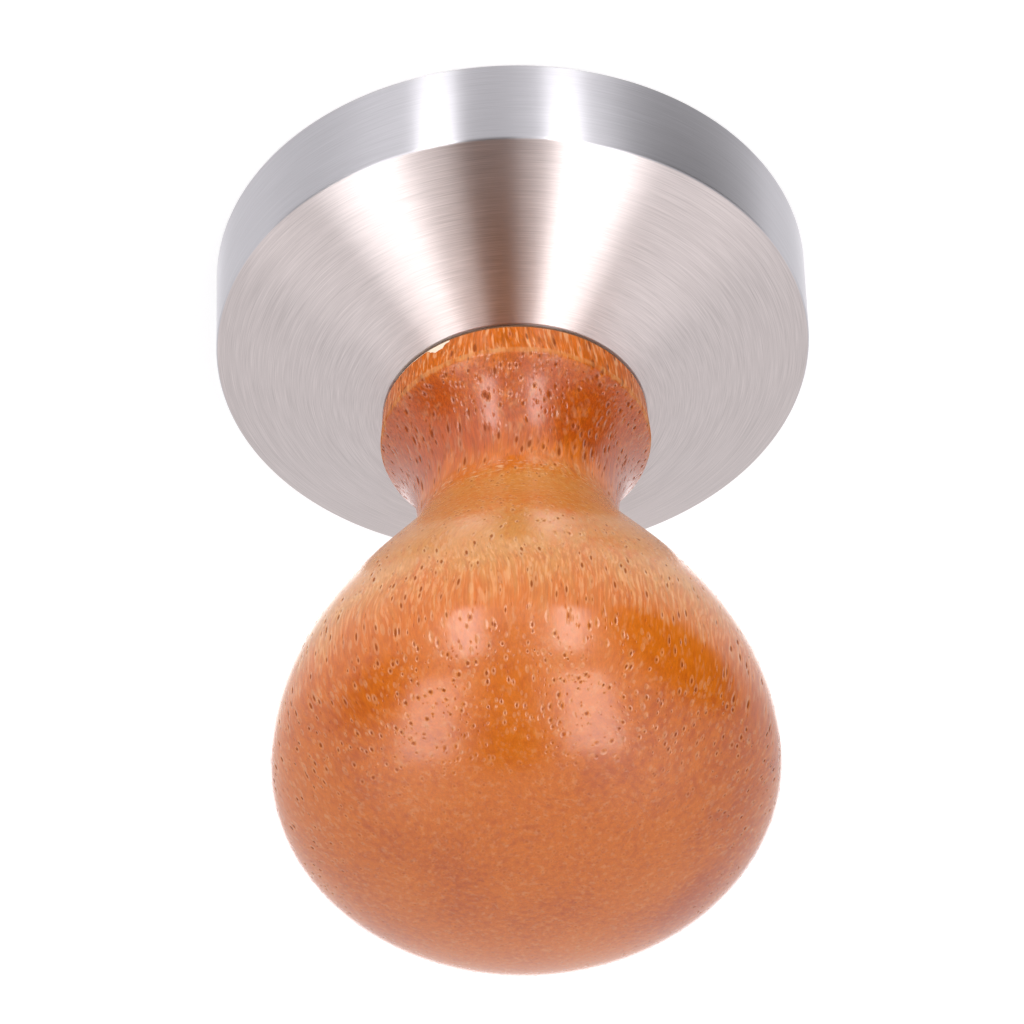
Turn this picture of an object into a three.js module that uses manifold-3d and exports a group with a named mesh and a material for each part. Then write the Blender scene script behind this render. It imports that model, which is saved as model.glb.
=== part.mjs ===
// An espresso tamper: a turned stainless-steel base, a threaded stud, a thin washer, and a pear-shaped
// wooden handle with a brass insert in its foot. The handle unscrews from the stud.
// Millimetres, +Z up. The origin is the centre of the sole, and every piece shares the Z axis.
import * as THREE from "three";
import { mergeVertices } from "three/addons/utils/BufferGeometryUtils.js";
import Module from "manifold-3d";

// Base: a straight rim that fits a 58 mm filter basket, and a cone up to the seat of the handle
const BASE_RADIUS = 29;
const RIM_HEIGHT = 10.3;
const SOLE_EDGE_BREAK = 0.25;
const RIM_EDGE_RADIUS = 0.45;
const SEAT_HEIGHT = 19;
const SEAT_RADIUS = 12.9;

// Washer between the seat and the foot of the handle
const WASHER_THICKNESS = 0.3;
const WASHER_RADIUS = 12.65;
const WASHER_BORE_RADIUS = 4.7;
const FACE_GAP = 0.02; // between two faces that rest on each other

// Handle: a collar that widens to a ridge, a cove up to the neck, a pear-shaped side and a low dome
const FOOT_HEIGHT = SEAT_HEIGHT + WASHER_THICKNESS + 2 * FACE_GAP;
const FOOT_RADIUS = 12.85;
const FOOT_EDGE_BREAK = 0.2;
const RIDGE_RADIUS = 13.1;
const RIDGE_HEIGHT = FOOT_HEIGHT + 3.2;
const RIDGE_WIDTH = 0.25;
const NECK_RADIUS = 9.65;
const NECK_HEIGHT = 33.1;
const KNOB_RADIUS = 23.8;
const KNOB_HEIGHT = 64.2; // of the widest part
const DOME_RISE = 15.9;
const COVE_START = [0.35, 0.15]; // how far the cove's first control point goes: [inwards, upwards]
const COVE_END = 0.6; // how much of the cove's rise runs straight into the neck
const PEAR_START = 0.2; // how much of the pear's rise runs straight out of the neck
const PEAR_END = 0.454; // how much of it runs straight into the widest part

// Threads. The section is one pitch of a thread's outline: [share of the pitch, share of the depth].
const FINE_THREAD = { major: 4, depth: 0.65, pitch: 1.25, segments: 16 }; // M8: stud, base, insert
const COARSE_THREAD = { major: 6.5, depth: 0.9, pitch: 2.5, segments: 16 }; // insert in the wood
const THREAD_SECTION = [
  [0, 0],
  [0.43, 1],
  [0.57, 1],
];
const LOCKED_CLEARANCE = 0.06; // radial, between two threads that are fixed together
const RUNNING_CLEARANCE = 0.15; // radial, where the insert turns on the stud

// Stud: a set screw, half in the base and half in the insert
const STUD_BOTTOM = 8;
const STUD_TOP = 32;
const STUD_CHAMFER = 0.7;
const SOCKET_ACROSS_FLATS = 4;
const SOCKET_DEPTH = 4.5;

// Blind tapped holes: each ends in the cone that a drill leaves
const DRILL_POINT_DEPTH = 2;
const BASE_HOLE_END = 6.5;
const BASE_MOUTH_RADIUS = 4.6;
const HANDLE_HOLE_END = 36;
const HANDLE_MOUTH_RADIUS = 7.2;

// Insert: recessed into the foot of the handle, with a driver slot across its lower end
const INSERT_BOTTOM = FOOT_HEIGHT + 1.2;
const INSERT_TOP = 34.5;
const INSERT_CHAMFER = 0.8;
const SLOT_WIDTH = 1.6;
const SLOT_DEPTH = 1.5;

const ROUND_SEGMENTS = 64;
const SMALL_ROUND_SEGMENTS = 32;
const BEYOND = 1; // how far a cutter runs past the face that it cuts

const STAINLESS = { color: 0xc3bebf, roughness: 0.3, metalness: 1 };
const ZINC = { color: 0x9a9da0, roughness: 0.38, metalness: 1 };
const BRASS = { color: 0xb08d4a, roughness: 0.35, metalness: 1 };
const FIBRE = { color: 0x1d1816, roughness: 0.8, metalness: 0 };
const WOOD = { color: 0xc9743a, roughness: 0.28, metalness: 0 };

const wasm = await Module();
wasm.setup();

// A closed three.js geometry as a manifold-3d solid.
function solidFrom(geometry) {
  const bare = geometry.clone();
  bare.deleteAttribute("normal");
  bare.deleteAttribute("uv");
  const merged = mergeVertices(bare, 1e-4);
  const vertProperties = merged.attributes.position.array;
  const triVerts = new Uint32Array(merged.index.array);
  return new wasm.Manifold(new wasm.Mesh({ numProp: 3, vertProperties, triVerts }));
}

// A manifold-3d solid as a three.js geometry.
function geometryFrom(solid) {
  const { vertProperties, triVerts } = solid.getMesh();
  const geometry = new THREE.BufferGeometry();
  geometry.setAttribute("position", new THREE.BufferAttribute(vertProperties, 3));
  geometry.setIndex(new THREE.BufferAttribute(triVerts, 1));
  geometry.computeVertexNormals();
  return geometry;
}

// A body of revolution about Z, from an outline of [radius, height] points that runs upwards outside it.
function turned(outline, segments = ROUND_SEGMENTS) {
  const points = outline.map(([radius, height]) => new THREE.Vector2(radius, height));
  return new THREE.LatheGeometry(points, segments).rotateX(Math.PI / 2);
}

// The [radius, height] points of a curve, without its first one.
function along(curve, steps) {
  const points = curve.getPoints(steps).slice(1);
  return points.map((point) => [point.x, point.y]);
}

// A curve in (radius, height) from four control points.
function bezier(...controls) {
  return new THREE.CubicBezierCurve(...controls.map(([radius, height]) => new THREE.Vector2(radius, height)));
}

// The whole numbers from first up to, and without, end.
function range(first, end) {
  return Array.from({ length: end - first }, (_, i) => first + i);
}

// A rod with a right-hand thread that runs a turn or more past bottom and top. The rows of vertices climb
// with the helix, so the last column meets the first one a pitch higher up.
function threadedRod({ major, depth, pitch, segments }, clearance, bottom, top) {
  const rowsPerTurn = THREAD_SECTION.length;
  const firstTurn = Math.floor(bottom / pitch) - 2;
  const turns = Math.ceil(top / pitch) + 1 - firstTurn;
  const rows = turns * rowsPerTurn;
  const positions = [];
  const columnStart = [];
  for (const column of range(0, segments)) {
    const angle = (2 * Math.PI * column) / segments;
    columnStart.push(positions.length / 3);
    for (const row of range(0, column === 0 ? rows + rowsPerTurn : rows)) {
      const [rise, share] = THREAD_SECTION[row % rowsPerTurn];
      const turn = firstTurn + Math.floor(row / rowsPerTurn) + column / segments;
      const radius = major - depth * (1 - share) + clearance;
      positions.push(radius * Math.cos(angle), radius * Math.sin(angle), pitch * (turn + rise));
    }
  }
  const vertex = (column, row) =>
    column === segments ? row + rowsPerTurn : columnStart[column] + row;
  const indices = [];
  for (const column of range(0, segments)) {
    for (const row of range(0, rows - 1)) {
      const [a, b] = [vertex(column, row), vertex(column + 1, row)];
      const [c, d] = [vertex(column + 1, row + 1), vertex(column, row + 1)];
      indices.push(a, b, c, a, c, d);
    }
  }
  // A fan from the axis closes each end. Its rim is one turn of the helix and the step back to its start.
  const rim = (row) => [
    ...range(0, segments + 1).map((column) => vertex(column, row)),
    ...range(1, rowsPerTurn).map((back) => row + rowsPerTurn - back),
  ];
  const fan = (edge, height) => {
    const apex = positions.length / 3;
    positions.push(0, 0, height);
    edge.forEach((here, i) => indices.push(apex, edge[(i + 1) % edge.length], here));
  };
  fan(rim(0), pitch * (firstTurn + 0.5));
  fan(rim(rows - 1).reverse(), pitch * (firstTurn + turns + 0.5));
  const geometry = new THREE.BufferGeometry();
  geometry.setAttribute("position", new THREE.Float32BufferAttribute(positions, 3));
  geometry.setIndex(indices);
  return solidFrom(geometry);
}

// A threaded rod with flat, chamfered ends at bottom and top.
function threadedCylinder(thread, clearance, bottom, top, chamfer) {
  const outer = thread.major + clearance + BEYOND;
  const tip = thread.major + clearance - chamfer;
  const shoulder = outer - tip;
  const envelope = turned(
    [
      [0, bottom],
      [tip, bottom],
      [outer, bottom + shoulder],
      [outer, top - shoulder],
      [tip, top],
      [0, top],
    ],
    SMALL_ROUND_SEGMENTS,
  );
  return threadedRod(thread, clearance, bottom, top).intersect(solidFrom(envelope));
}

// What a tapped blind hole takes away: the thread, a chamfer at its mouth, and the cone past its end.
function tappedHole(thread, clearance, mouth, end, mouthRadius) {
  const core = thread.major - thread.depth + clearance;
  const inwards = Math.sign(end - mouth);
  const outline = [
    [0, mouth - inwards * BEYOND],
    [mouthRadius + BEYOND, mouth - inwards * BEYOND],
    [core, mouth + inwards * (mouthRadius - core)],
    [core, end],
    [0, end + inwards * DRILL_POINT_DEPTH],
  ];
  if (inwards < 0) outline.reverse();
  const lower = Math.min(mouth - inwards * BEYOND, end);
  const upper = Math.max(mouth - inwards * BEYOND, end);
  const drilled = solidFrom(turned(outline, SMALL_ROUND_SEGMENTS));
  return threadedCylinder(thread, clearance, lower, upper, 0).add(drilled);
}

function makeBase() {
  const centre = [BASE_RADIUS - RIM_EDGE_RADIUS, RIM_HEIGHT - RIM_EDGE_RADIUS];
  const edge = new THREE.EllipseCurve(...centre, RIM_EDGE_RADIUS, RIM_EDGE_RADIUS, 0, Math.PI / 3);
  const body = turned([
    [0, 0],
    [BASE_RADIUS - SOLE_EDGE_BREAK, 0],
    [BASE_RADIUS, SOLE_EDGE_BREAK],
    [BASE_RADIUS, RIM_HEIGHT - RIM_EDGE_RADIUS],
    ...along(edge, 4),
    [SEAT_RADIUS, SEAT_HEIGHT],
    [0, SEAT_HEIGHT],
  ]);
  const hole = tappedHole(FINE_THREAD, LOCKED_CLEARANCE, SEAT_HEIGHT, BASE_HOLE_END, BASE_MOUTH_RADIUS);
  return geometryFrom(solidFrom(body).subtract(hole));
}

function makeStud() {
  const screw = threadedCylinder(FINE_THREAD, 0, STUD_BOTTOM, STUD_TOP, STUD_CHAMFER);
  const cornerRadius = SOCKET_ACROSS_FLATS / Math.sqrt(3);
  const corners = range(0, 6).map((corner) =>
    new THREE.Vector2(cornerRadius, 0).rotateAround(new THREE.Vector2(), (corner * Math.PI) / 3),
  );
  const key = new THREE.ExtrudeGeometry(new THREE.Shape(corners), {
    depth: SOCKET_DEPTH + BEYOND,
    bevelEnabled: false,
  });
  key.translate(0, 0, STUD_TOP - SOCKET_DEPTH);
  return geometryFrom(screw.subtract(solidFrom(key)));
}

function makeWasher() {
  const bottom = SEAT_HEIGHT + FACE_GAP;
  const top = bottom + WASHER_THICKNESS;
  return turned([
    [WASHER_BORE_RADIUS, bottom],
    [WASHER_RADIUS, bottom],
    [WASHER_RADIUS, top],
    [WASHER_BORE_RADIUS, top],
    [WASHER_BORE_RADIUS, bottom],
  ]);
}

function makeInsert() {
  const outside = threadedCylinder(COARSE_THREAD, 0, INSERT_BOTTOM, INSERT_TOP, INSERT_CHAMFER);
  const bore = threadedRod(FINE_THREAD, RUNNING_CLEARANCE, INSERT_BOTTOM, INSERT_TOP);
  const slot = new THREE.BoxGeometry(3 * COARSE_THREAD.major, SLOT_WIDTH, 2 * SLOT_DEPTH);
  slot.translate(0, 0, INSERT_BOTTOM);
  return geometryFrom(outside.subtract(bore).subtract(solidFrom(slot)));
}

function makeHandle() {
  const coveBottom = RIDGE_HEIGHT + RIDGE_WIDTH;
  const coveRise = NECK_HEIGHT - coveBottom;
  const coveDepth = RIDGE_RADIUS - NECK_RADIUS;
  const cove = bezier(
    [RIDGE_RADIUS, coveBottom],
    [RIDGE_RADIUS - COVE_START[0] * coveDepth, coveBottom + COVE_START[1] * coveRise],
    [NECK_RADIUS, NECK_HEIGHT - COVE_END * coveRise],
    [NECK_RADIUS, NECK_HEIGHT],
  );
  const pearRise = KNOB_HEIGHT - NECK_HEIGHT;
  const pear = bezier(
    [NECK_RADIUS, NECK_HEIGHT],
    [NECK_RADIUS, NECK_HEIGHT + PEAR_START * pearRise],
    [KNOB_RADIUS, KNOB_HEIGHT - PEAR_END * pearRise],
    [KNOB_RADIUS, KNOB_HEIGHT],
  );
  const dome = new THREE.EllipseCurve(0, KNOB_HEIGHT, KNOB_RADIUS, DOME_RISE, 0, Math.PI / 2);
  const body = turned([
    [0, FOOT_HEIGHT],
    [FOOT_RADIUS - FOOT_EDGE_BREAK, FOOT_HEIGHT],
    [FOOT_RADIUS, FOOT_HEIGHT + FOOT_EDGE_BREAK],
    [RIDGE_RADIUS, RIDGE_HEIGHT],
    [RIDGE_RADIUS, coveBottom],
    ...along(cove, 5),
    ...along(pear, 10),
    ...along(dome, 8),
  ]);
  const hole = tappedHole(
    COARSE_THREAD,
    LOCKED_CLEARANCE,
    FOOT_HEIGHT,
    HANDLE_HOLE_END,
    HANDLE_MOUTH_RADIUS,
  );
  return geometryFrom(solidFrom(body).subtract(hole));
}

function mesh(name, geometry, finish) {
  const made = new THREE.Mesh(geometry, new THREE.MeshStandardMaterial(finish));
  made.name = name;
  return made;
}

const base = new THREE.Group();
base.add(mesh("tamper_base", makeBase(), STAINLESS));
base.add(mesh("threaded_stud", makeStud(), ZINC));

const handle = new THREE.Group();
handle.add(mesh("wood_handle", makeHandle(), WOOD));
handle.add(mesh("threaded_insert", makeInsert(), BRASS));

const tamper = new THREE.Group();
tamper.add(base, mesh("washer", makeWasher(), FIBRE), handle);

export default tamper;
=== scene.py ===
"""Espresso tamper: a turned stainless-steel base and a lacquered wooden handle that unscrews from a stud.

Metres, +Z up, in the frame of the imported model. Lengths in the code are in millimetres and go through MM.
"""

import math

import bmesh
import bpy
from mathutils import Matrix, Vector


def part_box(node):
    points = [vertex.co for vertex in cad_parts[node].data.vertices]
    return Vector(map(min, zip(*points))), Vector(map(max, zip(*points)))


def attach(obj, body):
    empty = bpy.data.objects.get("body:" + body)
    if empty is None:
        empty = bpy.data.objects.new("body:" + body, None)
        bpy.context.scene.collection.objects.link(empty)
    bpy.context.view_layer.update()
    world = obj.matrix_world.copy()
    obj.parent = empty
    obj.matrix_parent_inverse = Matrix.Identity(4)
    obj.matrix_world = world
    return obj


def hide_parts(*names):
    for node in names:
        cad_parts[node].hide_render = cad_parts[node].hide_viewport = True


MM = 0.001

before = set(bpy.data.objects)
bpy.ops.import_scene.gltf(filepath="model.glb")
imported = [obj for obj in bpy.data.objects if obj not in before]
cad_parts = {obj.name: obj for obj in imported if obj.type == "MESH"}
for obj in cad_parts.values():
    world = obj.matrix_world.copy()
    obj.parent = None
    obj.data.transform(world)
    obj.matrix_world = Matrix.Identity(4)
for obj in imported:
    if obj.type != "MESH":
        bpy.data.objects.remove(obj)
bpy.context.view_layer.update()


def millimetres(node):
    """The lowest and highest corner of a CAD node, in millimetres."""
    low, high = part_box(node)
    return low / MM, high / MM


# ---------------------------------------------------------------- sizes, in millimetres

BASE_RADIUS = millimetres("tamper_base")[1].x
SEAT_HEIGHT = millimetres("tamper_base")[1].z
SEAT_RADIUS = 12.9
CONE_END_RADIUS = 28.775  # where the cone runs into the rounded edge of the rim
CONE_END_HEIGHT = 10.24
CONE_SLOPE = (SEAT_HEIGHT - CONE_END_HEIGHT) / (CONE_END_RADIUS - SEAT_RADIUS)
SOLE_EDGE = 0.25  # the fillets are named after the edge that they round
RIM_EDGE = 0.45
SEAT_EDGE = 0.12
SIDE_DEPTH = 0.1  # a face this near to the full radius belongs to the side of the rim

WASHER_BOTTOM, WASHER_TOP = (corner.z for corner in millimetres("washer"))
WASHER_RADIUS = millimetres("washer")[1].x
WASHER_BORE_RADIUS = 4.7
WASHER_BORE_EDGE = 0.05
WASHER_EDGE = 0.1

FOOT_HEIGHT, HANDLE_TOP = (corner.z for corner in millimetres("wood_handle"))
KNOB_RADIUS = millimetres("wood_handle")[1].x
FOOT_RADIUS = 12.85
RIDGE_RADIUS = 13.1
RIDGE_HEIGHT = FOOT_HEIGHT + 3.2
RIDGE_WIDTH = 0.25
NECK_RADIUS = 9.65
NECK_HEIGHT = 33.1
KNOB_HEIGHT = 64.2  # of the widest part
FOOT_EDGE = 0.25
RIDGE_EDGE = 0.3
COVE_START_IN = 0.35  # the cove's first control point, as shares of its depth and its rise
COVE_START_UP = 0.15
COVE_END = 0.6  # how much of the cove's rise runs straight into the neck
PEAR_START = 0.2  # how much of the pear's rise runs straight out of the neck
PEAR_END = 0.454  # how much of it runs straight into the widest part

STUD_BOTTOM, STUD_TOP = (corner.z for corner in millimetres("threaded_stud"))
STUD_PITCH = 1.25
STUD_MAJOR = 4.0
STUD_DEPTH = 0.65
STUD_CHAMFER = 0.7
SOCKET_ACROSS_FLATS = 4
SOCKET_DEPTH = 4.5
SOCKET_POINT_DEPTH = 0.6

# One pitch of the thread's outline: (share of the pitch, share of the depth)
THREAD_SECTION = (
    (0.0, 0.06),
    (0.05, 0.0),
    (0.1, 0.06),
    (0.42, 0.93),
    (0.47, 1.0),
    (0.53, 1.0),
    (0.58, 0.93),
    (0.9, 0.2),
)

# How many turns the thread is made longer than the stud, before its ends are cut off
TURNS_BELOW = 2
TURNS_ABOVE = 1
MERGE_DISTANCE = 0.001

# Blind holes, modelled without their threads. Each ends in the cone that a drill leaves.
THREAD_CLEARANCE = 0.06
INSERT_MAJOR = 6.5  # the radius of the insert's outer thread
BASE_BORE_RADIUS = STUD_MAJOR + THREAD_CLEARANCE
BASE_BORE_END = 6.5
BASE_MOUTH_RADIUS = 4.6
BASE_MOUTH_DEPTH = 0.6
BASE_MOUTH_EDGE = 0.08
HANDLE_BORE_RADIUS = INSERT_MAJOR + THREAD_CLEARANCE
HANDLE_BORE_END = 36
HANDLE_MOUTH_RADIUS = 7.2
HANDLE_MOUTH_DEPTH = 0.7
HANDLE_MOUTH_EDGE = 0.1
DRILL_POINT_DEPTH = 2

FINE_SEGMENTS = 256  # round the base and the handle
WASHER_SEGMENTS = 128
STUD_SEGMENTS = 64
FILLET_STEPS = 6
COVE_STEPS = 28
PEAR_STEPS = 72
DOME_STEPS = 48
SHARP_DEGREES = 35  # a sharper edge than this stays sharp when a piece is shaded smooth


# ---------------------------------------------------------------- meshes


def arc_corner(before, corner, after, radius):
    """The points of a fillet of that radius, in place of a corner of an outline."""
    corner = Vector(corner)
    inwards = (Vector(before) - corner).normalized()
    onwards = (Vector(after) - corner).normalized()
    half_angle = inwards.angle(onwards) / 2
    reach = radius / math.tan(half_angle)
    centre = corner + (inwards + onwards).normalized() * radius / math.sin(half_angle)
    first = corner + inwards * reach - centre
    last = corner + onwards * reach - centre
    points = []
    for i in range(FILLET_STEPS + 1):
        spoke = first.normalized().slerp(last.normalized(), i / FILLET_STEPS)
        points.append(tuple(centre + spoke * radius))
    return points


def rounded(outline):
    """A closed outline of (radius, height) or (radius, height, fillet) with its fillets made."""
    points = []
    for i, corner in enumerate(outline):
        if len(corner) == 2:
            points.append(corner)
            continue
        before = outline[i - 1][:2]
        after = outline[(i + 1) % len(outline)][:2]
        points.extend(arc_corner(before, corner[:2], after, corner[2]))
    return points


def bezier(p0, p1, p2, p3, steps):
    """The points of a cubic curve, without its first one."""
    p0, p1, p2, p3 = (Vector(p) for p in (p0, p1, p2, p3))
    points = []
    for i in range(1, steps + 1):
        t = i / steps
        s = 1 - t
        points.append(tuple(s**3 * p0 + 3 * s * s * t * p1 + 3 * s * t * t * p2 + t**3 * p3))
    return points


def quarter_turn(steps):
    """The cosine and sine of each step of a quarter of a turn, without its first one."""
    angles = (math.pi / 2 * i / steps for i in range(1, steps + 1))
    return [(math.cos(angle), math.sin(angle)) for angle in angles]


def turned(outline, segments, closed=True):
    """A bmesh, in metres, of an outline turned about Z. A point with radius 0 becomes a pole."""
    mesh = bmesh.new()
    rings = []
    for radius, height in outline:
        if radius == 0:
            rings.append([mesh.verts.new((0, 0, height * MM))])
            continue
        ring = []
        for i in range(segments):
            angle = 2 * math.pi * i / segments
            at = (radius * math.cos(angle) * MM, radius * math.sin(angle) * MM, height * MM)
            ring.append(mesh.verts.new(at))
        rings.append(ring)
    next_rings = rings[1:] + rings[:1] if closed else rings[1:]
    for lower, upper in zip(rings, next_rings):
        if len(lower) == 1 and len(upper) == 1:
            continue
        for i in range(segments):
            j = (i + 1) % segments
            near = (lower[i % len(lower)], lower[j % len(lower)])
            far = (upper[j % len(upper)], upper[i % len(upper)])
            mesh.faces.new(list(dict.fromkeys(near + far)))
    bmesh.ops.recalc_face_normals(mesh, faces=mesh.faces)
    return mesh


def add_object(name, mesh):
    """A new object in the scene, made of a bmesh, which is used up."""
    data = bpy.data.meshes.new(name)
    mesh.to_mesh(data)
    mesh.free()
    made = bpy.data.objects.new(name, data)
    bpy.context.scene.collection.objects.link(made)
    return made


def add_piece(name, mesh, material, body, replaced):
    """An object that stands for a CAD node and moves with its body."""
    made = add_object(name, mesh)
    made.data.shade_smooth()
    made.data.set_sharp_from_angle(angle=math.radians(SHARP_DEGREES))
    made.data.materials.append(material)
    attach(made, body)
    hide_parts(replaced)
    return made


def make_base(faced, rim):
    """The steel base, with a material of its own on the side of the rim."""
    cone_edge_height = SEAT_HEIGHT - (BASE_RADIUS - SEAT_RADIUS) * CONE_SLOPE
    outline = rounded(
        [
            (0, 0),
            (BASE_RADIUS, 0, SOLE_EDGE),
            (BASE_RADIUS, cone_edge_height, RIM_EDGE),
            (SEAT_RADIUS, SEAT_HEIGHT, SEAT_EDGE),
            (BASE_MOUTH_RADIUS, SEAT_HEIGHT, BASE_MOUTH_EDGE),
            (BASE_BORE_RADIUS, SEAT_HEIGHT - BASE_MOUTH_DEPTH),
            (BASE_BORE_RADIUS, BASE_BORE_END),
            (0, BASE_BORE_END - DRILL_POINT_DEPTH),
        ]
    )
    mesh = turned(outline, FINE_SEGMENTS)
    made = add_piece("base_turned", mesh, faced, "base", "tamper_base")
    made.data.materials.append(rim)
    side_starts = (BASE_RADIUS - SIDE_DEPTH) * MM
    for face in made.data.polygons:
        if face.center.xy.length > side_starts:
            face.material_index = 1


def make_washer(material):
    outline = rounded(
        [
            (WASHER_BORE_RADIUS, WASHER_BOTTOM, WASHER_BORE_EDGE),
            (WASHER_RADIUS, WASHER_BOTTOM, WASHER_EDGE),
            (WASHER_RADIUS, WASHER_TOP, WASHER_EDGE),
            (WASHER_BORE_RADIUS, WASHER_TOP, WASHER_BORE_EDGE),
        ]
    )
    add_piece("washer_ring", turned(outline, WASHER_SEGMENTS), material, "washer", "washer")


def make_handle(material):
    """The wooden handle: collar with a ridge, cove, neck, pear-shaped knob and dome."""
    cove_bottom = RIDGE_HEIGHT + RIDGE_WIDTH
    cove_rise = NECK_HEIGHT - cove_bottom
    cove_depth = RIDGE_RADIUS - NECK_RADIUS
    cove = bezier(
        (RIDGE_RADIUS, cove_bottom),
        (RIDGE_RADIUS - COVE_START_IN * cove_depth, cove_bottom + COVE_START_UP * cove_rise),
        (NECK_RADIUS, NECK_HEIGHT - COVE_END * cove_rise),
        (NECK_RADIUS, NECK_HEIGHT),
        COVE_STEPS,
    )
    pear_rise = KNOB_HEIGHT - NECK_HEIGHT
    pear = bezier(
        (NECK_RADIUS, NECK_HEIGHT),
        (NECK_RADIUS, NECK_HEIGHT + PEAR_START * pear_rise),
        (KNOB_RADIUS, KNOB_HEIGHT - PEAR_END * pear_rise),
        (KNOB_RADIUS, KNOB_HEIGHT),
        PEAR_STEPS,
    )
    dome_rise = HANDLE_TOP - KNOB_HEIGHT
    dome = [(KNOB_RADIUS * c, KNOB_HEIGHT + dome_rise * s) for c, s in quarter_turn(DOME_STEPS)]
    dome[-1] = (0, HANDLE_TOP)
    foot = [
        (HANDLE_MOUTH_RADIUS, FOOT_HEIGHT, HANDLE_MOUTH_EDGE),
        (FOOT_RADIUS, FOOT_HEIGHT, FOOT_EDGE),
        (RIDGE_RADIUS, RIDGE_HEIGHT, RIDGE_EDGE),
        cove[0] + (RIDGE_EDGE,),
    ]
    hole = [
        (0, HANDLE_BORE_END + DRILL_POINT_DEPTH),
        (HANDLE_BORE_RADIUS, HANDLE_BORE_END),
        (HANDLE_BORE_RADIUS, FOOT_HEIGHT + HANDLE_MOUTH_DEPTH),
    ]
    mesh = turned(rounded(foot + cove[1:] + pear + dome + hole), FINE_SEGMENTS)
    add_piece("handle_turned", mesh, material, "handle", "wood_handle")


def thread_columns(mesh):
    """Columns of vertices round a thread that runs past both ends of the stud.

    Each row climbs with the helix, so the last column meets the first one a pitch higher.
    """
    first = math.floor(STUD_BOTTOM / STUD_PITCH) - TURNS_BELOW
    turns = math.ceil(STUD_TOP / STUD_PITCH) + TURNS_ABOVE - first
    columns = []
    for i in range(STUD_SEGMENTS + 1):
        angle = 2 * math.pi * i / STUD_SEGMENTS
        column = []
        for row in range(turns * len(THREAD_SECTION)):
            share, height = THREAD_SECTION[row % len(THREAD_SECTION)]
            z = STUD_PITCH * (first + row // len(THREAD_SECTION) + i / STUD_SEGMENTS + share)
            reach = STUD_MAJOR - STUD_DEPTH * (1 - height)
            chamfered = STUD_MAJOR - STUD_CHAMFER + min(z - STUD_BOTTOM, STUD_TOP - z)
            reach = max(min(reach, chamfered), STUD_MAJOR - STUD_CHAMFER)
            at = (reach * math.cos(angle) * MM, reach * math.sin(angle) * MM, z * MM)
            column.append(mesh.verts.new(at))
        columns.append(column)
    return columns


def close_end(mesh, height, outwards):
    """Cuts a thread off at that height, and closes it with a flat face."""
    cut = bmesh.ops.bisect_plane(
        mesh,
        geom=mesh.verts[:] + mesh.edges[:] + mesh.faces[:],
        plane_co=(0, 0, height * MM),
        plane_no=(0, 0, outwards),
        clear_outer=True,
    )
    edges = [part for part in cut["geom_cut"] if isinstance(part, bmesh.types.BMEdge)]
    bmesh.ops.edgeloop_fill(mesh, edges=edges)


def make_stud(material):
    """A set screw with a chamfer at each end and a hexagon socket in its top."""
    mesh = bmesh.new()
    columns = thread_columns(mesh)
    for here, there in zip(columns, columns[1:]):
        for row in range(len(here) - 1):
            mesh.faces.new((here[row], there[row], there[row + 1], here[row + 1]))
    # This joins the last column to the first.
    bmesh.ops.remove_doubles(mesh, verts=mesh.verts, dist=MERGE_DISTANCE * MM)
    close_end(mesh, STUD_BOTTOM, -1)
    close_end(mesh, STUD_TOP, 1)
    bmesh.ops.recalc_face_normals(mesh, faces=mesh.faces)
    made = add_piece("stud_screw", mesh, material, "base", "threaded_stud")
    corner_radius = SOCKET_ACROSS_FLATS / math.sqrt(3)
    above = STUD_TOP + 1
    socket = [
        (0, STUD_TOP - SOCKET_DEPTH - SOCKET_POINT_DEPTH),
        (corner_radius, STUD_TOP - SOCKET_DEPTH),
        (corner_radius, above),
        (0, above),
    ]
    cut_with(made, turned(socket, 6))


def cut_with(made, cutter):
    """Takes a closed bmesh away from a piece."""
    tool = add_object("cutter", cutter)
    modifier = made.modifiers.new("cut", "BOOLEAN")
    modifier.operation = "DIFFERENCE"
    modifier.solver = "EXACT"
    modifier.object = tool
    evaluated = made.evaluated_get(bpy.context.evaluated_depsgraph_get())
    result = bpy.data.meshes.new_from_object(evaluated)
    made.modifiers.clear()
    made.data = result
    bpy.data.objects.remove(tool)


def finish_insert(material):
    """The insert is shown as the CAD made it, in a material of its own."""
    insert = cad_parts["threaded_insert"]
    insert.data.materials.clear()
    insert.data.materials.append(material)


# ---------------------------------------------------------------- shader nodes


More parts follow.
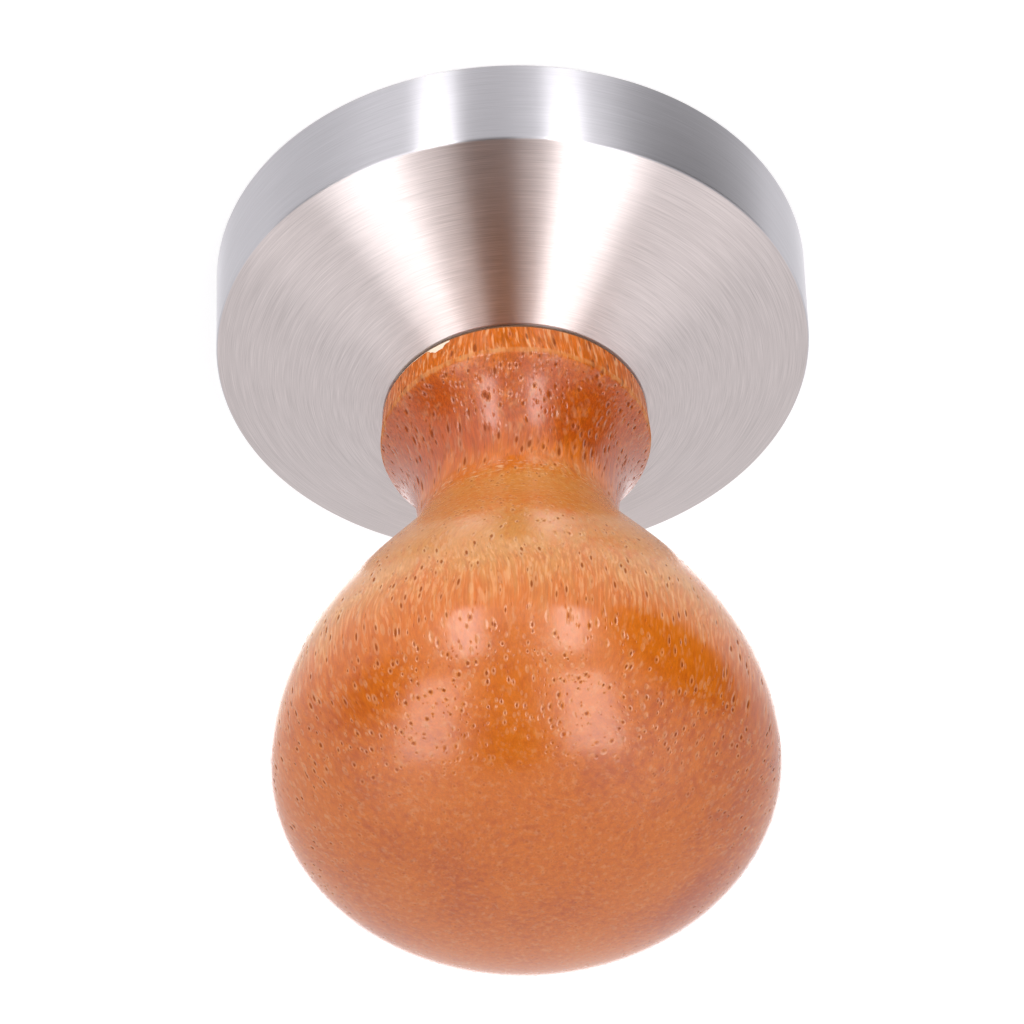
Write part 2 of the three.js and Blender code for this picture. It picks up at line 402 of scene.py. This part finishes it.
class Tree:
    """Makes nodes, and links each input that is given as another node's socket."""

    def __init__(self, tree):
        self.tree = tree
        tree.nodes.clear()

    def node(self, kind, inputs=None, **properties):
        made = self.tree.nodes.new("ShaderNode" + kind)
        for name, value in properties.items():
            setattr(made, name, value)
        for key, value in (inputs or {}).items():
            if isinstance(value, bpy.types.NodeSocket):
                self.tree.links.new(value, made.inputs[key])
            else:
                made.inputs[key].default_value = value
        return made

    def math(self, operation, *values):
        return self.node("Math", dict(enumerate(values)), operation=operation).outputs[0]

    def plus(self, a, b):
        return self.math("ADD", a, b)

    def minus(self, a, b):
        return self.math("SUBTRACT", a, b)

    def times(self, a, b):
        return self.math("MULTIPLY", a, b)

    def larger(self, a, b):
        return self.math("MAXIMUM", a, b)

    def vector(self, operation, *values):
        return self.node("VectorMath", dict(enumerate(values)), operation=operation).outputs[0]

    def scaled(self, vector, factor):
        """A vector or a colour times a number."""
        return self.node("VectorMath", {0: vector, "Scale": factor}, operation="SCALE").outputs[0]

    def dot(self, a, b):
        return self.node("VectorMath", {0: a, 1: b}, operation="DOT_PRODUCT").outputs["Value"]

    def ranged(self, kind, value, low, high, to_low, to_high):
        inputs = {"Value": value, "From Min": low, "From Max": high, "To Min": to_low, "To Max": to_high}
        return self.node("MapRange", inputs, interpolation_type=kind).outputs[0]

    def smooth(self, value, low, high, to_low=0.0, to_high=1.0):
        """Goes smoothly from to_low to to_high as value goes from low to high."""
        return self.ranged("SMOOTHSTEP", value, low, high, to_low, to_high)

    def linear(self, value, low, high, to_low, to_high):
        """Goes evenly from to_low to to_high as value goes from low to high."""
        return self.ranged("LINEAR", value, low, high, to_low, to_high)

    def between(self, share, at_none, at_all):
        """at_none where share is 0, at_all where it is 1."""
        return self.linear(share, 0.0, 1.0, at_none, at_all)

    def swing(self, noise, low, high):
        """Spreads a noise, which mostly stays within 0.3 and 0.7, from low to high."""
        return self.linear(noise, 0.3, 0.7, low, high)

    def band(self, value, centre, half_width, softness):
        """1 within half_width of centre, down to 0 over softness."""
        distance = self.math("ABSOLUTE", self.minus(value, centre))
        return self.smooth(distance, half_width + softness, half_width)

    def mix(self, factor, a, b):
        return self.node("Mix", {0: factor, 6: a, 7: b}, data_type="RGBA").outputs[2]

    def noise(self, vector, scale, detail, roughness=0.5):
        inputs = {"Vector": vector, "Scale": scale, "Detail": detail, "Roughness": roughness}
        return self.node("TexNoise", inputs).outputs["Fac"]

    def combine(self, x, y, z):
        return self.node("CombineXYZ", {0: x, 1: y, 2: z}).outputs[0]

    def bump(self, height, strength, distance):
        """A normal from a height. The distance is the height's unit, in millimetres."""
        inputs = {"Height": height, "Strength": strength, "Distance": distance * MM}
        return self.node("Bump", inputs).outputs[0]

    def object_millimetres(self):
        """The position on the piece itself, in millimetres, and its x, y and z."""
        place = self.scaled(self.node("TexCoord").outputs["Object"], 1 / MM)
        parts = self.node("SeparateXYZ", {0: place}).outputs
        return place, parts[0], parts[1], parts[2]

    def around(self, x, y):
        """The distance from the axis, and the unit vector away from it."""
        radius = self.math("SQRT", self.plus(self.times(x, x), self.times(y, y)))
        radius = self.larger(radius, 0.001)
        return radius, self.math("DIVIDE", x, radius), self.math("DIVIDE", y, radius)

    def surface(self, inputs):
        shader = self.node("BsdfPrincipled", inputs)
        self.node("OutputMaterial", {"Surface": shader.outputs[0]})


def new_material(name):
    made = bpy.data.materials.new(name)
    made.use_nodes = True
    return made, Tree(made.node_tree)


def rgb(red, green, blue):
    return (red, green, blue, 1.0)


# ---------------------------------------------------------------- metals and fibre


def turned_steel(name, colour_with_painted_reflection, roughness, relief, contrast):
    """Fine tool marks run round the axis, so highlights fan out across them."""
    made, tree = new_material(name)
    place, x, y, z = tree.object_millimetres()
    radius, unit_x, unit_y = tree.around(x, y)
    along = tree.minus(radius, z)

    def marks(per_millimetre, turns, detail):
        vector = tree.combine(
            tree.times(along, per_millimetre),
            tree.times(unit_x, turns),
            tree.times(unit_y, turns),
        )
        return tree.noise(vector, 1.0, detail)

    fine = marks(per_millimetre=15.0, turns=6.0, detail=2.0)
    medium = marks(per_millimetre=7.5, turns=4.0, detail=3.0)
    wide = marks(per_millimetre=0.9, turns=1.5, detail=2.0)
    cloud = tree.noise(place, 0.09, 2.0)
    shade = tree.plus(tree.swing(fine, -0.16, 0.16), tree.swing(medium, -0.12, 0.12))
    shade = tree.plus(shade, tree.swing(wide, -0.02, 0.02))
    shade = tree.plus(tree.times(shade, contrast), 1.0)
    uneven = tree.plus(tree.swing(medium, -0.02, 0.02), tree.swing(cloud, -0.01, 0.01))
    height = tree.plus(fine, tree.times(medium, 0.8))
    tree.surface(
        {
            # The base colour's tint holds a painted reflection.
            "Base Color": tree.scaled(colour_with_painted_reflection, shade),
            "Metallic": 1.0,
            "Roughness": tree.plus(uneven, roughness),
            "Anisotropic": 1.0,
            "Anisotropic Rotation": 0.25,
            "Tangent": tree.node("Tangent", direction_type="RADIAL", axis="Z").outputs[0],
            "Normal": tree.bump(height, relief, 0.003),
        }
    )
    return made


def zinc_plate():
    made, tree = new_material("zinc_plated_steel")
    place = tree.object_millimetres()[0]
    patches = tree.noise(place, 0.8, 4.0)
    grain = tree.noise(place, 6.0, 2.0)
    tree.surface(
        {
            "Base Color": tree.mix(patches, rgb(0.50, 0.52, 0.55), rgb(0.62, 0.63, 0.62)),
            "Metallic": 1.0,
            "Roughness": tree.swing(patches, 0.26, 0.4),
            "Normal": tree.bump(grain, 0.2, 0.01),
        }
    )
    return made


def brass():
    made, tree = new_material("machined_brass")
    place, x, y, z = tree.object_millimetres()
    radius = tree.around(x, y)[0]
    rings = tree.noise(tree.combine(tree.times(radius, 9.0), 0.0, tree.times(z, 9.0)), 1.0, 2.0)
    patches = tree.noise(place, 0.6, 3.0)
    tree.surface(
        {
            "Base Color": tree.mix(patches, rgb(0.62, 0.42, 0.16), rgb(0.75, 0.55, 0.25)),
            "Metallic": 1.0,
            "Roughness": tree.swing(patches, 0.25, 0.38),
            "Normal": tree.bump(rings, 0.25, 0.006),
        }
    )
    return made


def vulcanised_fibre():
    made, tree = new_material("vulcanised_fibre")
    place = tree.object_millimetres()[0]
    threads = tree.noise(tree.vector("MULTIPLY", place, (1.0, 1.0, 8.0)), 2.5, 4.0)
    tree.surface(
        {
            "Base Color": tree.mix(threads, rgb(0.13, 0.058, 0.026), rgb(0.24, 0.12, 0.06)),
            "Roughness": tree.swing(threads, 0.6, 0.85),
            "Specular IOR Level": 0.2,
            "Normal": tree.bump(threads, 0.5, 0.03),
        }
    )
    return made


# ---------------------------------------------------------------- wood

DEEP = rgb(0.41, 0.067, 0.003)
MID = rgb(0.575, 0.134, 0.004)
PALE = rgb(0.575, 0.225, 0.042)
CREAM = rgb(0.80, 0.55, 0.30)
SCORCHED = rgb(0.19, 0.04, 0.012)
COLLAR_ORANGE = rgb(0.56, 0.115, 0.002)
WORN = rgb(0.64, 0.33, 0.14)
RAW_WOOD = rgb(0.86, 0.74, 0.58)


class Wood:
    """The fields that the patterns in the wood share. The grain runs along Z."""

    def __init__(self, tree):
        self.tree = tree
        self.place, self.x, self.y, self.z = tree.object_millimetres()
        wander = tree.node("TexNoise", {"Vector": self.place, "Scale": 0.07, "Detail": 2.0}).outputs["Color"]
        wander = tree.vector("SUBTRACT", wander, (0.5, 0.5, 0.5))
        wander = tree.vector("MULTIPLY", wander, (4.0, 4.0, 0.0))
        self.grain = tree.vector("ADD", self.place, wander)
        self.streak = tree.noise(self.drawn_out(14.0, 1.6), 1.0, 4.0, 0.6)
        self.ragged = tree.noise(self.place, 1.3, 3.0)
        self.collar = tree.band(self.z, centre=20.9, half_width=1.3, softness=0.6)
        self.torn = tree.smooth(self.z, 36.0, 30.0)  # coarser grain in the collar and the cove

    def drawn_out(self, times, scale):
        """The place with the grain's direction shortened, so a pattern comes out that many times longer."""
        return self.tree.vector("MULTIPLY", self.grain, (scale, scale, scale / times))


def stain(wood):
    """The stain's colour, with painted light and shade in it: a painted reflection of the steel base makes
    the shoulder paler, painted shade makes the cove and the side towards -X darker, and the dome, off the
    shoulder, stays darker than the shoulder.
    """
    tree, z = wood.tree, wood.z
    blotch = tree.noise(tree.vector("MULTIPLY", wood.place, (1.0, 1.0, 0.5)), 0.11, 3.0)
    # Painted reflection: the shoulder is made paler, where the lacquer shows the bright steel base.
    painted_shoulder_reflection = tree.times(tree.smooth(z, 31.0, 40.0), tree.smooth(z, 68.0, 56.0))
    # Painted shade: the cove, the recess under the knob, is made darker.
    cove = tree.times(tree.smooth(z, 22.0, 24.5), tree.smooth(z, 34.0, 29.0))
    # Painted shade: the side towards -X, the picture's right, is made deeper and darker.
    side = tree.smooth(wood.x, -6.0, -15.0)
    tone = tree.plus(tree.swing(blotch, 0.2, 0.55), tree.swing(wood.streak, -0.18, 0.18))
    tone = tree.plus(tone, tree.times(painted_shoulder_reflection, 0.55))
    tone = tree.minus(tone, tree.times(cove, 0.32))
    tone = tree.minus(tone, tree.times(side, 0.13))
    colour = tree.mix(tree.smooth(tone, -0.05, 0.5), DEEP, MID)
    colour = tree.mix(tree.smooth(tone, 0.45, 1.05), colour, PALE)
    return tree.mix(tree.times(wood.collar, 0.75), colour, COLLAR_ORANGE)


def with_fibres(wood, colour):
    """Adds fine fibres, light and dark specks, and strokes on the collar and round the side of the knob."""
    tree = wood.tree
    fibre = tree.noise(wood.drawn_out(22.0, 6.0), 1.0, 2.0, 0.6)
    fleck = tree.linear(fibre, 0.35, 0.65, -1.0, 1.0)
    stroke = tree.linear(tree.noise(wood.drawn_out(12.0, 3.4), 1.0, 2.0), 0.35, 0.65, -1.0, 1.0)
    side = tree.band(wood.z, centre=61.0, half_width=2.5, softness=3.0)
    combed = tree.larger(wood.collar, tree.times(side, 0.5))
    shade = tree.plus(1.0, tree.times(fleck, tree.between(wood.torn, 0.07, 0.18)))
    shade = tree.plus(shade, tree.times(stroke, tree.between(combed, 0.03, 0.17)))
    colour = tree.scaled(colour, shade)
    light_stroke = tree.times(tree.smooth(stroke, 0.1, 1.2), combed)
    colour = tree.mix(tree.times(light_stroke, 0.42), colour, CREAM)
    specks = tree.noise(wood.drawn_out(3.0, 1.7), 1.0, 2.0)
    colour = tree.mix(tree.smooth(specks, 0.52, 0.74, 0.0, 0.12), colour, CREAM)
    return tree.mix(tree.smooth(specks, 0.45, 0.25, 0.0, 0.3), colour, DEEP)


def pores(wood, scale, times, share, radius, spread):
    """Dimples as (dimple, core, painted_ring_highlight): closed, drawn-out cells, of which only a share hold
    a pore. The third is a ring of painted highlight round each pore.

    There are fewer of them high on the dome, and they are larger where the grain is torn.
    """
    tree = wood.tree
    cells = {"Vector": wood.drawn_out(times, scale), "Scale": 1.0, "Randomness": 1.0}
    cells = tree.node("TexVoronoi", cells).outputs
    random = tree.node("SeparateXYZ", {0: cells["Color"]}).outputs
    open_grain = tree.smooth(wood.z, 77.5, 72.5, 0.3, 1.0)
    present = tree.times(tree.math("LESS_THAN", random[0], share), open_grain)
    size = tree.between(random[1], 0.55 * radius * scale, 1.2 * radius * scale)
    size = tree.times(size, tree.between(wood.torn, 1.0, 1.25))
    relative = tree.math("DIVIDE", cells["Distance"], size)
    dimple = tree.times(tree.smooth(relative, spread, 0.2), present)
    core = tree.times(tree.smooth(relative, 1.1, 0.55), present)
    # A painted highlight: a light ring round each pore, where the lacquer's curved rim would catch the
    # lights.
    painted_ring_highlight = tree.times(tree.band(relative, centre=1.45, half_width=0.3, softness=0.4), present)
    return dimple, core, painted_ring_highlight


def chipped_foot(wood):
    """Where the finish has come off the lower edge of the foot: one chip, and a sliver beside it."""
    tree = wood.tree
    above = tree.minus(wood.z, FOOT_HEIGHT)
    rough = tree.swing(wood.ragged, -0.35, 0.35)

    def bite(degrees, half_width, height):
        angle = math.radians(degrees)
        facing = (math.sin(angle), -math.cos(angle), 0.0)
        along = (math.cos(angle), math.sin(angle), 0.0)
        here = tree.combine(wood.x, wood.y, 0.0)
        sideways = tree.math("DIVIDE", tree.dot(here, along), half_width)
        crest = tree.minus(1.0, tree.times(sideways, sideways))
        crest = tree.times(tree.plus(crest, rough), height)
        outside = tree.math("GREATER_THAN", tree.dot(here, facing), 0.0)
        return tree.times(tree.smooth(tree.minus(crest, above), -0.03, 0.03), outside)

    chip = bite(degrees=34.0, half_width=1.5, height=0.85)
    sliver = bite(degrees=51.0, half_width=3.4, height=0.22)
    return tree.larger(chip, sliver)


def worn_ridge(wood):
    """A ragged line along the ridge."""
    tree = wood.tree
    height = tree.plus(wood.z, tree.swing(wood.ragged, -0.12, 0.12))
    return tree.band(height, centre=RIDGE_HEIGHT + 0.1, half_width=0.12, softness=0.3)


def neck_scratches(wood):
    """Short scratches that run round, just above the neck."""
    tree = wood.tree
    unit_x, unit_y = tree.around(wood.x, wood.y)[1:]
    round_neck = tree.combine(tree.times(unit_x, 9.0), tree.times(unit_y, 9.0), tree.times(wood.z, 5.0))
    scratch = tree.smooth(tree.noise(round_neck, 1.0, 2.0), 0.57, 0.66)
    height = tree.plus(wood.z, tree.swing(wood.ragged, -1.0, 1.0))
    return tree.times(scratch, tree.band(height, centre=35.3, half_width=0.6, softness=0.9))


def lacquered_wood():
    """Straight-grained wood with open pores, stained orange under a glossy lacquer."""
    made, tree = new_material("stained_lacquered_wood")
    wood = Wood(tree)
    colour = with_fibres(wood, stain(wood))

    dimple, core, painted_ring_highlight = pores(wood, scale=1.6, times=4.0, share=0.85, radius=0.13, spread=1.9)
    small_dimple, small_core = pores(wood, scale=2.6, times=5.0, share=0.6, radius=0.08, spread=1.8)[:2]
    # Painted highlight: the rings round the pores are mixed towards cream.
    colour = tree.mix(tree.times(painted_ring_highlight, tree.between(wood.torn, 0.12, 0.04)), colour, CREAM)
    colour = tree.mix(tree.times(core, 0.72), colour, SCORCHED)
    colour = tree.mix(tree.times(small_core, 0.4), colour, SCORCHED)

    ridge = worn_ridge(wood)
    scratch = neck_scratches(wood)
    chip = chipped_foot(wood)
    colour = tree.mix(tree.times(ridge, tree.linear(wood.streak, 0.35, 0.65, 0.05, 0.55)), colour, WORN)
    colour = tree.mix(tree.times(scratch, 0.5), colour, CREAM)
    colour = tree.mix(chip, colour, RAW_WOOD)

    height = tree.times(dimple, tree.between(wood.torn, -1.0, -1.7))
    height = tree.plus(height, tree.times(small_dimple, -0.35))
    height = tree.plus(height, tree.times(wood.streak, 0.15))
    height = tree.plus(height, tree.times(scratch, 0.4))
    height = tree.minus(height, tree.times(chip, 0.8))
    normal = tree.bump(height, 0.6, 0.075)

    # The lacquer is gone from the chips, mostly gone from the pores and the ridge, and thin on the collar.
    bare = tree.larger(tree.times(core, 0.85), tree.times(small_core, 0.6))
    bare = tree.larger(bare, tree.larger(tree.times(ridge, 0.8), chip))
    bare = tree.larger(bare, tree.times(wood.collar, 0.5))
    tree.surface(
        {
            "Base Color": colour,
            "Roughness": 0.5,
            "Specular IOR Level": 0.0,
            "Normal": normal,
            "Coat Weight": tree.minus(1.0, bare),
            "Coat Roughness": 0.21,
            "Coat IOR": 1.6,
            "Coat Normal": normal,
        }
    )
    return made


# ---------------------------------------------------------------- the studio

# The set is turned with the camera: its up is the picture's up.
SET_UP = Vector((0.0, -0.69, -0.73)).normalized()
SET_RIGHT = Vector((-1.0, 0.0, 0.0))
SET_FRONT = SET_RIGHT.cross(SET_UP)
SET_MIDDLE = Vector((0.0, 0.0, 45.0)) * MM
LIGHT_DISTANCE = 0.8

# The floor is flat out to its radius, and sweeps up into a wall. Millimetres.
FLOOR_RADIUS = 1500
FLOOR_MIDDLE_RING = 900
SWEEP_RADIUS = 900
SWEEP_STEPS = 24
WALL_TOP = 2600
STAGE_SEGMENTS = 96
PAPER_WHITE = 0.7
PAPER_GLOW = 0.45
PAPER_DIMMEST = 0.985  # a share of the glow

# The camera as fitted to the outlines in the photo. Lengths are in radii of the base.
CAMERA_DOWN = math.radians(43.3449)
CAMERA_ROLL = math.radians(180 - 1.8342)
CAMERA_DISTANCE = 25
CAMERA_LENS = 267.98  # millimetres, as is the sensor's width
CAMERA_SENSOR = 36
AIM_HEIGHT = 1.4
AIM_RIGHT = -0.0274
AIM_UP = 0.2223


def heading(azimuth, elevation):
    """A direction in the set: azimuth 0 is towards the camera and 90 is the picture's right."""
    a, e = math.radians(azimuth), math.radians(elevation)
    level = SET_RIGHT * math.sin(a) + SET_FRONT * math.cos(a)
    return level * math.cos(e) + SET_UP * math.sin(e)


def basis(right, up, back):
    """The rotation that turns X, Y and Z to these three directions."""
    return Matrix((right, up, back)).transposed().to_quaternion()


def span(degrees):
    """The width of a panel that fills that angle from its distance."""
    return 2 * LIGHT_DISTANCE * math.tan(math.radians(degrees) / 2)


def panel(name, azimuth, elevation, width, height, radiance):
    """A flat soft light that fills that many degrees of the set, facing the object."""
    light = bpy.data.lights.new(name, "AREA")
    light.shape = "RECTANGLE"
    light.size = span(width)
    light.size_y = span(height)
    light.energy = radiance * math.pi * light.size * light.size_y
    made = bpy.data.objects.new(name, light)
    bpy.context.scene.collection.objects.link(made)
    back = heading(azimuth, elevation)
    side = (SET_RIGHT - back * SET_RIGHT.dot(back)).normalized()
    made.location = SET_MIDDLE + back * LIGHT_DISTANCE
    made.rotation_mode = "QUATERNION"
    made.rotation_quaternion = basis(side, back.cross(side), back)
    made.visible_camera = False
    return made


def make_lights():
    """Four strips that only show as reflections, and one broad light that casts none.

    Each panel's numbers are its azimuth, elevation, width and height in degrees, and its radiance.
    """
    strips = (
        panel("left_strip_low", -36.5, -12, 21, 42, 2.75),
        panel("left_strip_high", -32, 44, 12.5, 44, 4.8),
        panel("right_strip_low", 24.5, -12, 20, 43, 3.5),
        panel("right_strip_high", 27, 44, 12, 41, 4.7),
    )
    for strip in strips:
        strip.visible_diffuse = False
    fill = panel("fill", -3, 42, 60, 50, 2.2)
    fill.visible_glossy = False


def make_world():
    """A white studio with brighter and darker places in it, which the steel and the lacquer reflect."""
    world = bpy.data.worlds.new("studio")
    world.use_nodes = True
    bpy.context.scene.world = world
    tree = Tree(world.node_tree)
    direction = tree.node("TexCoord").outputs["Generated"]

    def patch(colour, azimuth, elevation, radius, softness, there, strength=1.0):
        """The colour, with another one in a round place. The four numbers are in degrees."""
        cosine = tree.dot(direction, tuple(heading(azimuth, elevation)))
        inner = math.cos(math.radians(max(radius - softness, 0)))
        outer = math.cos(math.radians(radius + softness))
        return tree.mix(tree.smooth(cosine, outer, inner, 0.0, strength), colour, there)

    colour = rgb(0.98, 0.97, 0.98)
    colour = patch(colour, 180, 0, 17, 3, rgb(2.3, 2.3, 2.35))
    colour = patch(colour, 50, -36, 15, 12, rgb(1.5, 1.46, 1.46))
    colour = patch(colour, -54, -38, 14, 10, rgb(1.35, 1.32, 1.32))
    colour = patch(colour, 82, 26, 30, 7, rgb(0.03, 0.03, 0.03))
    colour = patch(colour, -65, 8, 17, 10, rgb(0.08, 0.08, 0.08), 0.95)

    # A dark column between the left strips and the right ones
    sideways = tree.band(tree.dot(direction, tuple(SET_RIGHT)), -0.11, 0.14, 0.05)
    upwards = tree.band(tree.dot(direction, tuple(SET_UP)), 0.06, 0.66, 0.12)
    in_front = tree.math("GREATER_THAN", tree.dot(direction, tuple(SET_FRONT)), 0.0)
    column = tree.times(tree.times(sideways, upwards), in_front)
    colour = tree.mix(tree.times(column, 0.95), colour, rgb(0.17, 0.15, 0.15))
    colour = patch(colour, -4, -31, 11, 4, rgb(0.04, 0.03, 0.03))

    background = tree.node("Background", {"Color": colour, "Strength": 1.0})
    tree.node("OutputWorld", {"Surface": background.outputs[0]})


def pale_paper():
    """Paper that is lit a little from within, so that it stays pale everywhere."""
    made, tree = new_material("pale_paper")
    diffuse = tree.node("BsdfDiffuse", {"Color": rgb(PAPER_WHITE, PAPER_WHITE, PAPER_WHITE)})
    grain = tree.noise(tree.node("TexCoord").outputs["Object"], 40.0, 3.0)
    shade = tree.swing(grain, PAPER_GLOW * PAPER_DIMMEST, PAPER_GLOW)
    glowing = tree.node("Emission", {"Color": rgb(1, 1, 1), "Strength": shade})
    both = tree.node("AddShader", {0: diffuse.outputs[0], 1: glowing.outputs[0]})
    tree.node("OutputMaterial", {"Surface": both.outputs[0]})
    return made


def make_stage():
    """A floor that sweeps up into a wall all round. Only the camera sees it, and light goes past it."""
    outline = [(0, 0), (FLOOR_MIDDLE_RING, 0), (FLOOR_RADIUS, 0)]
    for c, s in quarter_turn(SWEEP_STEPS):
        outline.append((FLOOR_RADIUS + SWEEP_RADIUS * s, SWEEP_RADIUS - SWEEP_RADIUS * c))
    outline.append((FLOOR_RADIUS + SWEEP_RADIUS, WALL_TOP))
    floor = add_object("floor", turned(outline, STAGE_SEGMENTS, closed=False))
    floor.data.shade_smooth()
    floor.data.materials.append(pale_paper())
    floor.visible_glossy = False
    floor.visible_diffuse = False
    floor.visible_transmission = False
    floor.visible_shadow = False


def make_camera():
    """Looks down on the object, and is rolled so that the base is at the top of the picture."""
    base_radius = BASE_RADIUS * MM
    forwards = Vector((0, math.cos(CAMERA_DOWN), -math.sin(CAMERA_DOWN)))
    level = Vector((1, 0, 0))
    upright = level.cross(forwards)
    right = level * math.cos(CAMERA_ROLL) + upright * math.sin(CAMERA_ROLL)
    up = -level * math.sin(CAMERA_ROLL) + upright * math.cos(CAMERA_ROLL)
    aim = (Vector((0, 0, AIM_HEIGHT)) + right * AIM_RIGHT + up * AIM_UP) * base_radius
    camera = bpy.data.cameras.new("camera")
    camera.sensor_width = CAMERA_SENSOR
    camera.lens = CAMERA_LENS
    camera.clip_start = 0.01
    camera.clip_end = 20
    made = bpy.data.objects.new("camera", camera)
    bpy.context.scene.collection.objects.link(made)
    made.location = aim - forwards * CAMERA_DISTANCE * base_radius
    made.rotation_mode = "QUATERNION"
    made.rotation_quaternion = basis(right, up, -forwards)
    bpy.context.scene.camera = made


# ---------------------------------------------------------------- the scene

bpy.context.scene.view_settings.view_transform = "Standard"
make_camera()
make_stage()
make_world()
make_lights()

# The same grey steel on both: the cone's warm tint is a painted reflection of the orange handle, and the
# rim's cool, bluish tint is a painted reflection of its surroundings.
make_base(
    faced=turned_steel("turned_steel", (0.60, 0.54, 0.535), roughness=0.31, relief=0.6, contrast=0.75),
    rim=turned_steel("turned_steel_rim", (0.59, 0.577, 0.61), roughness=0.32, relief=0.1, contrast=0.35),
)
make_washer(vulcanised_fibre())
make_handle(lacquered_wood())
make_stud(zinc_plate())
finish_insert(brass())
